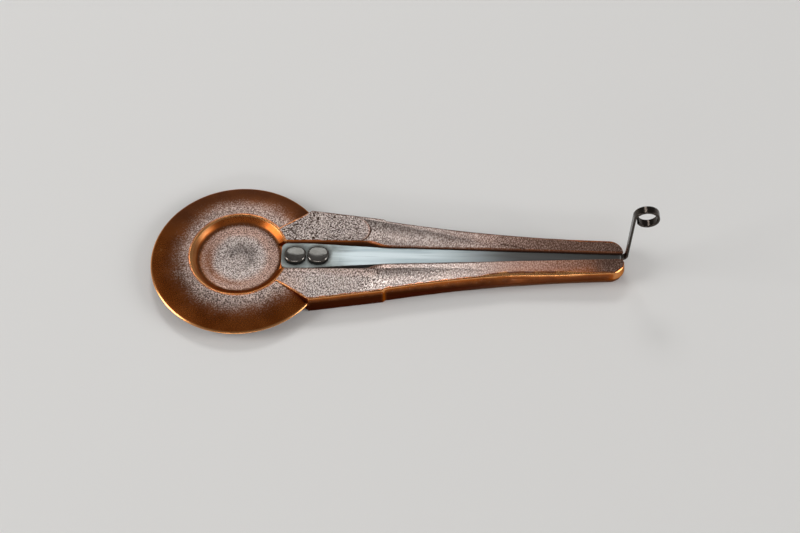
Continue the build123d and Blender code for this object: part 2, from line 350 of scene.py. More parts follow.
def armStations():
    # station numbers along the fork: which leg of the outline, and how far along it; they lie
    # closer together where the scoop's nose is
    cornerX, endX = casting["shoulderCorner"][0], casting["shoulderEnd"][0]
    atNose = (np.linspace(26.2, 27.8, 14) - cornerX) / (endX - cornerX)
    shoulder = np.unique(np.concatenate([np.linspace(0, 1, 50), atNose]))
    slant, notch, arm, tip = (np.linspace(0, 1, count) for count in (34, 4, 150, 18))
    legs = []
    for number, along in enumerate([slant, shoulder, notch, arm, tip]):
        along = along[:-1] if number < 4 else along
        legs.append(np.stack([np.full(len(along), number), along]))
    return np.concatenate(legs, axis=1)


def topEdge(share, far):
    # outline of the top and how far its edge is rounded; the near arm is worn rounder from the
    # middle on and stays fuller towards the tip
    size = casting
    x, y = outerLine(share, flush)
    wideY = outerLine(share, size["bevels"])[1]
    worn = 0 if far else 1
    y = y + worn * size["wornFuller"] * ease(52, 68, x) * (wideY - y)
    soft = size["easedEdge"] + worn * size["wornEdge"] * ease(48, 58, x) * ease(75, 66, x)
    return x, y, soft


def armLines(share, far):
    # the outlines that the fork's section runs through, kept clear of the slot, and the rounding
    size = casting
    x, y, soft = topEdge(share, far)
    foot = outerLine(share, flush)
    inset = outerLine(share, (-size["easedEdge"],) * 4)
    lines = {
        "narrow": (x, y),
        "eased": (inset[0], inset[1] + y - foot[1] + size["easedEdge"] - soft),
        "wide": outerLine(share, size["bevels"]),
        "foot": foot,
    }
    least = slotHalf(x) + size["leastArm"]
    clear = {name: (lineX, np.maximum(lineY, least)) for name, (lineX, lineY) in lines.items()}
    return clear, soft


def tipFacet(x, y):
    # height of the leaning plane knocked on the corner of the near tip
    spotX, spotY = casting["tipFacet"]
    return casting["top"] - casting["facetLean"] * ((x - spotX) * 0.62 + (y - spotY) * 0.78)


def scoopEdgeX(y):
    # the rounded nose where the scoop starts: an ellipse in plan, as x over y
    centre, reach = casting["noseCentre"], casting["noseReach"]
    share = np.clip((y - centre[1]) / reach[1], -0.96, 0.96)
    return centre[0] + reach[0] * np.sqrt(1 - share ** 2)


def armTop(x, y, far):
    # level top less the scoop: a long leaning trough of round section whose depth runs out along
    # the arm; it starts at the crisp nose on the far arm and fades in on the near one
    (sx, sy), (ex, ey), depth, bend = casting["farScoop" if far else "nearScoop"]
    length = math.hypot(ex - sx, ey - sy)
    along = ((x - sx) * (ex - sx) + (y - sy) * (ey - sy)) / length
    across = ((x - sx) * (ey - sy) - (y - sy) * (ex - sx)) / length
    below = depth * (1 - along / length) - (bend - np.sqrt(np.clip(bend ** 2 - across ** 2, 0, None)))
    trough = softMax(below, np.zeros_like(x), 0.03)
    past = x - scoopEdgeX(y)
    begin = ease(0.0, 0.3, past) if far else ease(-3.0, 4.5, past)
    land = np.minimum(below, 0) * ease(56, 46, x) * begin * (across < 0 if far else across > 0)
    return casting["top"] - trough * begin + casting["landLean"] * land


def armLane(topX, topY, t, far):
    # one line of the fork's top, the share t of the way out from the slot: the scooped top with
    # its cast skin, rolled over at the slot
    size = casting
    inner = slotHalf(topX)
    lane = t * t * (3 - 2 * t) * 0.4 + t * t * 0.15 + t * 0.45
    y = inner + (topY - inner) * lane
    bulge = np.clip(1 - np.abs(topX - size["noseX"]) / size["noseSpan"], 0, 1)
    x = topX + bulge * (scoopEdgeX(y) - size["noseX"])
    z = armTop(x, y, far)
    worn = 1 - 0.5 * ease(60, 78, x)
    z = z + worn * castSkin(x, y if far else -y, z)
    roll = size["slotRoll"] + (size["armRoll"] - size["slotRoll"]) * ease(26, 32, x)
    z = z - 1.15 * roll * np.clip(1 - (y - inner) / roll, 0, 1) ** 1.7
    if far:
        z = z - size["scratchDepth"] * ease(0.3, 0.0, lineDistance(x, y, *size["scratch"]))
    return x, y, z


def armShell(far):
    # a closed section carried along the fork: top, eased edge, outer side, sole, undercut wall, lip
    size = casting
    top, widest, sole = size["top"], size["widest"], size["sole"]
    line, soft = armLines(armStations(), far)
    topX, topY = line["eased"]
    inner = slotHalf(topX)
    columns = []

    def add(x, y, z):
        columns.append(np.stack([x, y, z + np.zeros_like(x)], -1))

    def mix(a, b, t):
        return a[0] + (b[0] - a[0]) * t, a[1] + (b[1] - a[1]) * t

    def strip(start, end, startZ, endZ, shares, tucks=(0, 0)):
        # a side of the section from one line to another, tucked in at its two ends
        for t in shares:
            x, y = mix(start, end, t)
            y = y - tucks[0] * ease(0.15, 0.0, t) - tucks[1] * ease(0.85, 1.0, t)
            add(x, y, startZ + (endZ - startZ) * t)

    for t in np.linspace(0, 1, size["topLanes"]):
        add(*armLane(topX, topY, t, far))
    drop = top - columns[-1][:, 2]
    for t in (0.3, 0.6, 0.85, 1.0):
        x, y = mix(line["eased"], line["narrow"], math.sin(t * math.pi / 2))
        add(x, y, top - soft * (1 - math.cos(t * math.pi / 2)) - drop * (1 - t))
    footX, footY = line["foot"]
    under = np.minimum(inner + size["undercut"], footY - 0.12)
    lip = (line["wide"][0], inner)
    lipZ = top - size["lipHeight"]
    strip(line["narrow"], line["wide"], top - soft, widest, (0.12, 0.3, 0.5, 0.7, 0.85, 0.94, 1.0), (0, 0.05))
    strip(line["wide"], line["foot"], widest, sole, (0.06, 0.15, 0.4, 0.65, 0.85, 0.93, 1.0), (0.05, 0.08))
    strip((footX, footY - 0.15), (footX, under), sole, sole, (0.06, 0.3, 0.6, 0.9, 1.0))
    strip((footX, under), lip, sole, lipZ, (0.1, 0.35, 0.7, 1.0))
    strip(lip, (topX, inner), lipZ, top - 0.5, (0.25, 0.6, 0.9))
    rings = np.stack(columns, axis=1)
    sides = rings[:, size["topLanes"]:]
    sides[..., 1] += 0.02 * lumps(sides, 2.4, 14)  # as uneven as the cast top
    if not far:  # a small facet knocked on the corner of the tip
        facet = np.maximum(tipFacet(rings[..., 0], rings[..., 1]), size["facetFloor"])
        knocked = softMin(rings[..., 2], facet + 0.05 * lumps(rings, 0.7, 13), 0.25)
        rings[..., 2] = np.where(rings[..., 0] > size["facetFrom"], knocked, rings[..., 2])
        rings[..., 1] *= -1
    return shell("farArm" if far else "nearArm", rings)


def seatShell():
    # the bridge under the heel: a rounded slab from the dish to where the slot opens
    size = casting
    x = np.concatenate([np.linspace(size["seatStart"], 19.9, 40), [20.1, 20.22, size["seatEnd"]]])
    tuck = np.concatenate([np.zeros(40), [0.02, 0.07, 0.16]])
    turn = fullTurn(32)
    across = np.sign(np.cos(turn)) * np.abs(np.cos(turn)) ** 0.12
    upward = np.sign(np.sin(turn)) * np.abs(np.sin(turn)) ** 0.12
    half = (size["seat"] - size["sole"]) / 2
    y = np.outer(size["seatHalf"] - tuck, across)
    z = size["sole"] + half + np.outer(half - tuck, upward)
    return shell("seat", np.stack([np.repeat(x[:, None], 32, 1), y, z], -1))


rivets = {
    "places": {"rivetRear": 11.8, "rivetFront": 16.6},
    "headRadius": 2.2, "headStretch": (1.05, 0.96), "headBase": 3.9, "headTop": 4.74, "lean": 0.022,
    # crown: radius, how far it lies under the head's top, its fall; rolled edge: radius, height
    "crown": 1.84, "crownDrop": 0.06, "crownFall": 0.1, "rollRadius": 0.36, "rollHeight": 0.46,
    "rollDrop": 0.165, "hammered": 0.012, "flatter": 0.05, "squared": 0.025,
    "shank": 1.2, "tail": 1.9, "tailDepth": 0.9, "clearance": 0.02,
}


def rivetHole(x):
    # the cutter for a rivet's shank and countersunk tail
    size = rivets
    shank, tail = size["shank"] + size["clearance"], size["tail"] + size["clearance"]
    radii = np.array([shank / 2, shank, shank, tail, tail + 0.1, shank / 2])
    heights = [6.0, 6.0, size["tailDepth"], 0.0, -0.08, -0.08]
    hole = turnedShell("rivetHole", radii, heights, 48)
    hole.data.transform(Matrix.Translation((x * mm, 0, 0)))
    return hole


def rivetCuts():
    return [(rivetHole(x), "DIFFERENCE") for x in rivets["places"].values()]


castFrame = joined("castFrame", discShell(), [
    (armShell(True), "UNION"), (armShell(False), "UNION"), (seatShell(), "UNION"),
    (dishShell(), "DIFFERENCE"),
] + rivetCuts())
finishShading(castFrame, 34)
print("casting:", len(castFrame.data.vertices), "vertices", len(castFrame.data.polygons), "faces")


# wear, dirt, and painted light and shade of the casting, as masks on its vertices

wearAndLight = {
    # strokes by their two ends, spots by their middle
    "nick": ((-6.5, 11.5), (-6.1, 10.5)), "bareSpot": (-16.7, 1.6), "coolSpot": (-0.4, 1.6),
    "flaws": [((55.2, 2.75), (56.5, 2.45)), ((57.2, 2.45), (58.5, 2.1)), ((59.2, 1.8), (60.1, 1.6))],
    # a seam line, and the notch where a painted highlight lies on the band
    "seamX": 75.26, "notchX": 30.6,
    # from where to where along X something comes or goes
    "slender": (44, 66), "tipPolish": (66, 76), "neck": (29, 34),
    "thumbFrom": (48, 60), "thumbTo": (77, 73),
    "farShade": (70, 40), "rootDarkening": (29, 24), "darkeningFrom": (48, 58), "darkeningTo": (77, 70),
    "farLineGoes": (68, 58), "nearLineGoes": (64, 44),
    "hatchFrom": (25, 29), "pocksGo": (30, 22), "calmer": (26, 34), "nearCalm": (22, 30),
    "roseComes": (20, 30), "roseFull": (38, 72), "blushGoes": (16, 9), "slotBlushGoes": (40, 30),
    # the same on the far arm, and on the near one
    "greyGoes": ((30, 66), (52, 78)), "plumComes": ((29, 62), (50, 72)),
}


def span(at, name):
    return ease(*wearAndLight[name], at.x)


def armSpan(at, name, wander):
    # each arm's own span of that name, with ends made ragged by the noise
    far, near = wearAndLight[name]
    x = at.x + wander * at.patch
    return np.where(at.far, ease(*far, x), ease(*near, x))


def strokeMask(at, outer, inner, ends):
    # a straight stroke in plan that fades out between two distances from its middle line
    return ease(outer, inner, lineDistance(at.x, at.y, *ends)) * at.seen


def castPlaces(piece):
    # what the masks ask of each vertex: place, slope, distances to the edges, region, two noises
    place, normal = vertexArrays(piece)
    at = SimpleNamespace()
    at.x, at.y, at.z = place.T
    at.r, at.half, at.up = np.hypot(at.x, at.y), np.abs(at.y), normal[:, 2]
    at.far, at.near = at.y > 0, at.y < 0
    at.seen = at.up > 0.3  # small marks lie on upward faces only
    edgeX, farY, farSoft = topEdge(armStations(), True)
    nearX, nearY, nearSoft = topEdge(armStations(), False)
    edgeY = np.where(at.far, np.interp(at.x, edgeX, farY), np.interp(at.x, nearX, nearY))
    at.softness = np.where(at.far, np.interp(at.x, edgeX, farSoft), np.interp(at.x, nearX, nearSoft))
    at.fromEdge = edgeY - at.half - casting["easedEdge"]
    at.fromSlot = at.half - slotHalf(at.x)
    at.fromShoulder = shoulderSide(at.x, at.y)
    at.fromNose = at.x - scoopEdgeX(at.half)
    at.atNose = at.far * ease(0.3, 0.8, at.fromEdge) * at.seen
    at.dish = (at.r < 10.5) & (at.z < 4.47)
    at.fork = (at.x > 7) & (at.fromShoulder < 0.1) & ~at.dish
    lowSide = (at.z < 4.0) & (at.up < 0.5) & (at.fromSlot > 0.3)
    at.flank = (at.fromEdge < -0.02) | lowSide
    at.slotWall = ease(0.25, 0.05, at.fromSlot) * ease(0.75, 0.35, at.up) * at.fork
    at.slender = span(at, "slender")
    at.notch = bell(at.x, wearAndLight["notchX"], 0.3)
    at.patch, at.fine = lumps(place, 2.6, 21), lumps(place, 0.9, 22)
    at.nick = strokeMask(at, 0.3, 0.1, wearAndLight["nick"])
    facet = ease(0.2, 0.05, np.abs(at.z - tipFacet(at.x, at.half)))
    facet = facet * (at.x > 77.5) * at.near * (at.z < 4.44)
    # the rounded corner of the near tip, painted bright copper: a painted highlight; the facet is bare metal
    corner = ease(76, 78.5, at.x + 0.4 * at.patch) * (at.y < -1.1)
    corner = corner * ease(1.5, 2.4, at.z + 0.2 * at.fine) * ease(0.97, 0.8, at.up)
    at.knocked = np.maximum(facet, corner)
    return at


def byRegion(at, fork, dish, disc):
    return np.select([at.fork, at.dish], [fork, dish], disc)


def rubbedAndHighlightMask(at):
    # bare metal and painted copper highlights. Fork: the outer band with its worn edge, painted brighter
    # at its top edge and at the notch, the slot's corners, the top that a thumb has polished, the rim of the
    # nose
    # as a painted highlight. Dish: its wall, painted brighter on the left. Disc: the outer dome, with more
    # copper on its lit near-left side as painted light, and its rim and the lip, both partly painted
    # highlights
    high = ease(3.6, 4.3, at.z + 0.1 * at.fine)
    # the band's top edge and the notch are painted brighter: painted highlights
    band = 0.12 + 0.85 * high + 0.3 * at.slender * (1 - high) + 0.8 * at.notch + 0.3 * (at.x < 15.2)
    inward = at.fromEdge - 0.8 * (at.softness - 0.22) + 0.12 * at.fine
    outside = np.where(at.flank, band, 0.9 * ease(0.28, 0.04, inward))
    outside = outside * np.where(at.far & (at.x > 14), 0.15 + 0.7 * span(at, "tipPolish"), 1)
    # copper painted over the near arm's rounded edge, where it turns away from the light: a painted highlight
    rounded = ease(0.3, 0.9, at.softness) * ease(3.6, 4.1, at.z) * ease(1.0, 0.6, at.fromEdge)
    outside = outside + 0.5 * rounded * at.near
    inside = np.where(at.far, 0.8 - 0.55 * span(at, "neck"), 0.3)
    inside = inside * ease(0.24, 0.08, at.fromSlot + 0.04 * at.fine)
    thumbed = (0.16 + 0.24 * ease(2.2, 0.2, at.fromEdge)) * at.near * (at.up > 0.8)
    thumbed = thumbed * span(at, "thumbFrom") * span(at, "thumbTo")
    fork = largest(outside, inside, thumbed, 0.3 * bell(at.fromNose, -0.16, 0.12) * at.atNose)
    # the wall painted brighter on the left and towards its top: a painted highlight
    wall = 0.8 + 0.12 * ease(-4, -8, at.x) + 0.2 * ease(9.7, 10.2, at.r)
    wall = wall * ease(8.7, 9.2, at.r + 0.06 * at.fine)
    # more copper on the lit near and left side of the dome: painted light; the rim line is partly a painted
    # highlight
    lit = 0.8 - 0.6 * ease(-3, 11, at.y + 0.15 * at.x)
    dome = lit * ease(12.5, 18.0, at.r + 0.5 * at.patch) + (1 - lit) * ease(18.25, 18.62, at.r)
    lip = 0.95 * ease(10.75, 10.45, at.r + 0.05 * at.fine)
    spotX, spotY = wearAndLight["bareSpot"]
    spot = ease(0.5, 0.15, np.hypot(at.x - spotX, at.y - spotY)) * at.seen
    rubbedAndHighlight = byRegion(at, fork, wall, np.maximum(dome, lip)) * (1 - at.nick)
    # the knocked facet bare, and the tip's corner a painted highlight
    return largest(rubbedAndHighlight, 0.95 * at.knocked, spot)


def greySkinAndSheenMask(at):
    # the grey skin on level faces, partly a painted sheen: it lies on upward faces only, rings the inner
    # dome, is painted less on the left and far side of the disc and on the left of the dish floor as painted
    # shade, and thins towards the tips and the rim, and in the dish towards its wall and along an arc
    fork = 1 - 0.75 * armSpan(at, "greyGoes", 3)
    arc = bell(at.r, 6.6, 0.8) * ease(0.1, 0.8, -(at.x + at.y) / np.maximum(at.r, 1) / 1.42)
    # painted shade: the dish floor less grey on its left, beside the wall
    dish = (1 - 0.55 * arc) * ease(8.9, 7.6, at.r) * (1 - 0.45 * ease(-3, -8, at.x))
    # the ring of painted sheen round the dish, with painted shade on the left and far side of the disc
    disc = ease(17.2, 10.8, at.r + 0.9 * at.patch)
    disc = disc * (1 - 0.5 * ease(-5, -13, at.x)) * (1 - 0.25 * ease(4, 12, at.y))
    slotCorner = 0.7 * ease(4.0, 4.2, at.z) * ease(0.3, 0.1, at.fromSlot)
    slotCorner = slotCorner * at.far * ease(29, 33, at.x) * at.fork
    # only upward faces carry it, as a painted sheen
    upward = np.maximum(ease(0.6, 0.9, at.up), slotCorner)
    return np.maximum(byRegion(at, fork, dish, disc) * upward, at.nick)


def dirtAndShadeMask(at):
    # dark lines, grime and painted shade. Fork: painted shade at the start of the scoop, on the slot walls
    # and along the near slot edge; a scratch, flaws and a seam; a dark line along the far outer edge; the far
    # arm painted darker as painted shade, and the near arm darker near its root and late on. Dish: painted
    # shade over it, more towards its left and at its foot, a dark line on the faint ring, a darker spot near
    # the middle.
    # Disc: painted shade in the crease at the shoulder and on its far side
    # painted shade where the scoop steps down at its nose
    nose = 0.75 * bell(at.fromNose, 0.12, 0.14) * at.atNose
    scratch = 0.9 * strokeMask(at, 0.4, 0.12, casting["scratch"])
    flaws = [0.9 * strokeMask(at, 0.3, 0.12, flaw) for flaw in wearAndLight["flaws"]]
    seam = 0.7 * ease(0.16, 0.05, np.abs(at.x - wearAndLight["seamX"])) * at.near * (at.z > 4.2)
    # painted shade on the slot walls, and a painted shadow line along the near slot edge
    upper = np.where(at.far, 0.2, 0.6) * span(at, "neck")
    slotWall = at.slotWall * np.maximum(0.95 * ease(4.4, 4.05, at.z), upper)
    nearLine = 0.75 * ease(0.5, 0.25, at.fromSlot + 0.05 * at.fine)
    nearLine = nearLine * at.near * span(at, "nearLineGoes")
    farLine = 0.75 * ease(0.14, 0.0, at.fromEdge + 0.04 * at.fine)
    farLine = farLine * at.far * (at.x > 12) * span(at, "farLineGoes")
    # the far arm painted darker as painted shade; the near arm darker near its root and late on
    nearDarkening = 0.12 * span(at, "rootDarkening") + 0.15 * span(at, "darkeningFrom") * span(at, "darkeningTo")
    darkened = np.where(at.far, 0.24 * span(at, "farShade"), nearDarkening * (at.up > 0.8))
    fork = largest(nose, scratch, *flaws, seam, slotWall, nearLine, farLine, darkened)
    # painted shade at the foot of the dish wall and over the dish, more to the left
    foot = 0.3 * bell(at.r, 8.75, 0.2) + 0.15 * bell(at.r, casting["dishFlat"], 0.16)
    coolX, coolY = wearAndLight["coolSpot"]
    cool = 0.12 * bell(np.hypot(at.x - coolX, at.y - coolY), 0, 3)
    dish = np.maximum(foot, 0.13 + 0.18 * ease(-2, -8, at.x) + cool)
    # painted shade in the crease at the shoulder and on the far side of the disc
    crease = 0.9 * ease(0.4, 0.08, at.fromShoulder) * (at.x > 7) * (at.r < 19)
    disc = np.maximum(crease, 0.28 * ease(2, 11, at.y))
    return byRegion(at, fork, dish, disc) * (1 - at.knocked)


def shadeMask(at):
    # painted shade: deep brown low on the sides and underneath, and a little on the far side of the dome
    low = ease(3.75, 2.9, at.z + 0.15 * at.fine) * (0.95 - 0.4 * at.slender)
    low = low * np.where(at.fork, at.flank * (1 - at.notch), at.z < 2.3)
    farDome = 0.45 * ease(12.5, 17, at.r) * ease(2, 12, at.y) * (at.z > 2.5)
    return np.maximum(low * (1 - at.knocked), farDome * ~at.fork * ~at.dish)


def roseMask(at):
    # rosy instead of neutral grey: late on the arms, at the near pocket, the dish's rim, the dome
    blush = 0.6 * ease(*wearAndLight["blushGoes"], at.x + at.patch)
    slotBlush = 0.45 * ease(2.6, 0.6, at.fromSlot + 0.4 * at.patch) * span(at, "slotBlushGoes")
    fork = 0.1 * span(at, "roseComes") + 0.9 * span(at, "roseFull")
    fork = fork + np.maximum(blush, slotBlush) * at.near
    return byRegion(at, fork, ease(4.6, 6.6, at.r + 0.35 * at.patch), 0.45 + 0.55 * ease(11, 15, at.r))


def speckleMask(at):
    # how strongly the grain shows
    fork = np.where(at.far, 1, 0.8 + 0.2 * span(at, "nearCalm"))
    fork = fork * (1 - 0.5 * span(at, "calmer")) * (1 - 0.25 * at.slender)
    return byRegion(at, fork, 0.8, 0.95)


def putCastMasks(piece):
    at = castPlaces(piece)
    pocked = np.where(at.far, 1.0, 0.35) * span(at, "pocksGo") * at.fork * (at.up > 0.8)
    hatch = np.where(at.far, span(at, "hatchFrom"), 1) * at.fork
    plum = armSpan(at, "plumComes", 4) * at.fork  # where the brown ground turns to plum
    masks = {
        "rubbedAndHighlight": rubbedAndHighlightMask(at), "greySkinAndSheen": greySkinAndSheenMask(at), "dirtAndShade": dirtAndShadeMask(at), "shade": shadeMask(at),
        "rose": roseMask(at), "speckle": speckleMask(at), "plum": plum, "pocked": pocked,
        "slotWall": at.slotWall, "hatch": hatch, "onDisc": ~at.fork,
    }
    for name, values in masks.items():
        putMask(piece, name, values)


putCastMasks(castFrame)
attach(castFrame, "frame")
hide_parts("frame")
print("masks set on the casting")


# the reed, one strip from the heel to the curl

reed = {
    "heelEnd": 8.9, "heelCorner": 1.3, "heelHalf": 3.25, "taperStart": 14.0,
    "waist": (30.8, 2.1), "bendStart": 80.0, "tipHalf": 0.62, "curlHalf": 0.85, "fullAt": 14.5,
    "top": 3.9, "thick": 0.9, "tipThick": 0.5, "clamp": 21.0,
    "bend": 1.4, "curlHeight": 17.8, "curlFirst": 2.4, "curlSecond": 2.15, "curlTurn": 150,
    "corner": 0.11, "uneven": 0.012, "mapStep": 20,  # mapStep: millimetres to one unit of its map
}


def reedPath():
    # middle line in the XZ plane with its direction: straight, quarter bend, shank, two arcs of curl
    size = reed
    heel = np.unique(np.concatenate([
        size["heelEnd"] + size["heelCorner"] * (1 - np.cos(np.linspace(0, math.pi / 2, 12))),
        np.linspace(size["heelEnd"] + size["heelCorner"], size["bendStart"], 220)]))
    thick = size["thick"] + (size["tipThick"] - size["thick"]) * np.clip(
        (heel - size["clamp"]) / (size["bendStart"] - size["clamp"]), 0, 1)
    bend, one, two = size["bend"], size["curlFirst"], size["curlSecond"]
    low, curlZ = size["top"] - size["tipThick"] / 2, size["curlHeight"]
    shankX, upright = size["bendStart"] + bend, math.pi / 2
    shank = np.linspace(low + bend, curlZ, 50)[1:]
    turn = np.radians(np.linspace(0, 90, 14)[1:])
    first = np.radians(np.linspace(0, 180, 40)[1:])
    second = np.radians(np.linspace(0, size["curlTurn"], 32)[1:])
    x, z, slope = (np.concatenate(parts) for parts in zip(
        (heel, size["top"] - thick / 2, 0 * heel),
        (size["bendStart"] + bend * np.sin(turn), low + bend * (1 - np.cos(turn)), turn),
        (shankX + 0 * shank, shank, upright + 0 * shank),
        (shankX + one - one * np.cos(first), curlZ + one * np.sin(first), upright - first),
        (shankX + 2 * one - two + two * np.cos(second), curlZ - two * np.sin(second), -upright - second)))
    thick = np.concatenate([thick, np.full(len(x) - len(heel), size["tipThick"])])
    return x, z, slope, thick, len(heel)


def reedHalf(x, z, flatCount):
    # half width: rounded heel end, quick taper to the waist, slow taper to the bend, then a flare
    size = reed
    inset = np.clip(size["heelEnd"] + size["heelCorner"] - x, 0, size["heelCorner"])
    end = size["heelHalf"] - size["heelCorner"] + np.sqrt(size["heelCorner"] ** 2 - inset ** 2)
    waistX, waistHalf = size["waist"]
    flat = np.interp(x, [size["taperStart"], waistX, size["bendStart"]],
                     [size["heelHalf"], waistHalf, size["tipHalf"]])
    flat = np.minimum(flat, end)
    raised = np.interp(z, [size["top"] - size["tipThick"], size["fullAt"]],
                       [size["tipHalf"], size["curlHalf"]])
    return np.where(np.arange(len(x)) < flatCount, flat, raised)


def reedShell():
    # a rounded rectangle carried along the path, square to it
    size = reed
    x, z, slope, thick, flatCount = reedPath()
    half = reedHalf(x, z, flatCount)
    half = half + size["uneven"] * lumps(np.stack([x, z, 0 * x], -1), 3.5, 31) * (x > 12)
    quarter = np.radians(np.linspace(0, 90, 5))
    corner = np.minimum(size["corner"], 0.42 * thick)
    corners = [(1, 1, quarter[::-1]), (1, -1, quarter), (-1, -1, quarter[::-1]), (-1, 1, quarter)]
    across, above = [], []
    for sideways, upward, turn in corners:
        for q in turn:
            across.append(sideways * (half - corner * (1 - math.cos(q))))
            above.append(upward * (thick / 2 - corner * (1 - math.sin(q))))
        if sideways != upward:  # a wide face starts at this corner
            for lane in upward * np.linspace(-0.97, 0.97, 25):
                across.append(lane * (half - corner))
                above.append(upward * thick / 2 + 0 * half)
    across, above = np.stack(across, 1), np.stack(above, 1)
    ringX = x[:, None] - np.sin(slope)[:, None] * above
    ringZ = z[:, None] + np.cos(slope)[:, None] * above
    return shell("reedStrip", np.stack([ringX, across, ringZ], -1))


def reedPiece():
    # the strip with its rivet holes, a mask of its eased edges for a painted highlight and a map that runs
    # along it
    piece = joined("springReed", reedShell(), rivetCuts())
    finishShading(piece, 36)
    place, normal = vertexArrays(piece)
    (x, y, z), up = place.T, normal[:, 2]
    putMask(piece, "edge", ease(0.9, 0.6, up) * ease(-0.1, 0.2, up) * (x < 79))
    corners = np.zeros(len(piece.data.loops), int)
    piece.data.loops.foreach_get("vertex_index", corners)
    along = np.stack([y, x + z], -1)[corners] / reed["mapStep"]
    piece.data.uv_layers.new(name="along").data.foreach_set("uv", along.astype(np.float32).ravel())
    return piece


springReed = reedPiece()
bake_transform(springReed)
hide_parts("reed_heel", "reed_tongue")
print("reed:", len(springReed.data.polygons), "faces")


# the two rivets

def rivetPiece(name, centreX, seed):
    # a low crown with a rolled edge, set a little flat and uneven, on its shank and flush tail
    size = rivets
    base, shank, tail = size["headBase"], size["shank"], size["tail"]
    crown = np.linspace(0.3, size["crown"], 18)
    crownZ = size["headTop"] - size["crownDrop"] - size["crownFall"] * (crown / size["crown"]) ** 2
    swing = np.radians(np.linspace(80, -12, 14))
    rollR = size["headRadius"] - size["rollRadius"] + size["rollRadius"] * np.cos(swing)
    rollZ = size["headTop"] - size["rollDrop"] - size["rollHeight"] + size["rollHeight"] * np.sin(swing)
    radii = np.concatenate([crown, rollR, [2.12, 1.6, shank, shank, tail - 0.05, tail - 0.12, 1.2, 0.4]])
    body = [base, base, base - 0.02, size["tailDepth"], 0.06, 0.0, 0.0, 0.0]
    heights = np.concatenate([crownZ, rollZ, body])

    def lift(x, y, z):
        head = ease(base + 0.12, base + 0.5, z)
        wave = size["hammered"] * lumps(np.stack([x + centreX, y, 0 * z], -1), 1.5, seed)
        flatter = size["flatter"] * np.minimum(np.abs(x) / size["crown"], 1) ** 2
        return z + head * (wave + flatter - size["lean"] * y)

    head = turnedShell(name, radii, heights, 72, lift)
    place = vertexArrays(head)[0]
    twist = np.random.default_rng(seed).uniform(-0.3, 0.3)
    square = 1 - size["squared"] * np.cos(4 * np.arctan2(place[:, 1], place[:, 0]) + twist)
    spread = np.array([*size["headStretch"], 1]) * square[:, None] - 1
    spread = spread * (place[:, 2] > base - 0.01)[:, None]
    place = place + place * spread * [1, 1, 0] + [centreX, 0, 0]
    head.data.vertices.foreach_set("co", (place * mm).ravel())
    head.data.update()
    up = vertexArrays(head)[1][:, 2]
    # the rolled edge, painted lighter in the finish: a painted highlight
    putMask(head, "rim", ease(0.9, 0.75, up) * ease(0.2, 0.45, up) * (place[:, 2] > base))
    finishShading(head, 40)
    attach(head, "frame")
    return head


rivetPieces = {}
for number, (name, centreX) in enumerate(rivets["places"].items()):
    rivetPieces[name] = rivetPiece(name, centreX, 50 + number)
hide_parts("rivet_rear")
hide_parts("rivet_front")
print("rivets:", len(rivetPieces))


# camera, floor and light

view = {
    "place": (0.0350786, -0.1795736, 0.2541707),
    "turn": (35.2464, 0.005, 0.3878),
    "lens": 65.858,
}
cameraData = bpy.data.cameras.new("camera")
cameraData.lens = view["lens"]
cameraData.sensor_width = 36
cameraData.clip_start, cameraData.clip_end = 0.01, 20
camera = bpy.data.objects.new("camera", cameraData)
camera.location = view["place"]
camera.rotation_euler = [math.radians(a) for a in view["turn"]]
scene.collection.objects.link(camera)
scene.camera = camera

stage = {
    "floorRadius": 2.5, "floorFade": (0.2, 0.5), "paper": (1.0, 0.99, 0.975), "worldRise": (0.08, 0.34),
    "floorColour": (0.82, 0.81, 0.795), "floorRough": 0.6, "floorShine": 0.15, "floorDrop": 0.00005,
    "worldLight": 0.25, "worldHorizon": 0.62, "worldOverhead": 0.17,
    # name: place, aim, width and height in metres, watts
    "lamps": {
        "backSoftbox": ((0.0, 0.412, 0.437), (0.02, 0.0, 0.0), (0.18, 0.15), 0.68),
        "leftSoft": ((-0.78, -0.12, 0.42), (0.02, 0.0, 0.0), (0.5, 0.5), 4.0),
        "rightSoft": ((0.84, -0.2, 0.4), (0.03, 0.0, 0.0), (0.5, 0.5), 3.0),
        "frontStrip": ((-0.06, -0.7, 0.3), (0.02, 0.0, 0.0), (0.6, 0.12), 0.9),
    },
}
turn = fullTurn(96)
circle = np.stack([np.cos(turn), np.sin(turn), 0 * turn], -1)
edge = stage["floorRadius"] * circle - [0, 0, stage["floorDrop"]]
floorMesh = bpy.data.meshes.new("floor")
floorMesh.from_pydata(edge.tolist(), [], [list(range(len(turn)))])
floor = newPiece("floor", floorMesh)

for name, (spot, aim, (wide, high), power) in stage["lamps"].items():
    lamp = bpy.data.lights.new(name, "AREA")
    lamp.shape, lamp.size, lamp.size_y, lamp.energy = "ELLIPSE", wide, high, power
    holder = bpy.data.objects.new(name, lamp)
    holder.location = spot
    holder.rotation_euler = (Vector(aim) - Vector(spot)).to_track_quat("-Z", "Y").to_euler()
    scene.collection.objects.link(holder)
print("stage:", len(stage["lamps"]), "lamps")


# finishes

def finish(name):
    material = bpy.data.materials.new(name)
    material.use_nodes = True
    return material, material.node_tree, material.node_tree.nodes["Principled BSDF"]


def linked(value):
    return isinstance(value, bpy.types.NodeSocket)


def plug(made, inputs):
    # links each socket that is given another one, and sets the rest directly
    for name, value in inputs.items():
        socket = made.inputs[name]
        if linked(value):
            socket.id_data.links.new(value, socket)
        else:
            socket.default_value = value


def node(tree, kind, inputs=(), **settings):
    made = tree.nodes.new("ShaderNode" + kind)
    for key, value in settings.items():
        setattr(made, key, value)
    plug(made, dict(inputs))
    return made


def calc(operation, a, b, clamp=False):
    tree = a.id_data if linked(a) else b.id_data
    return node(tree, "Math", {0: a, 1: b}, operation=operation, use_clamp=clamp).outputs[0]


def times(a, b):
    return calc("MULTIPLY", a, b)


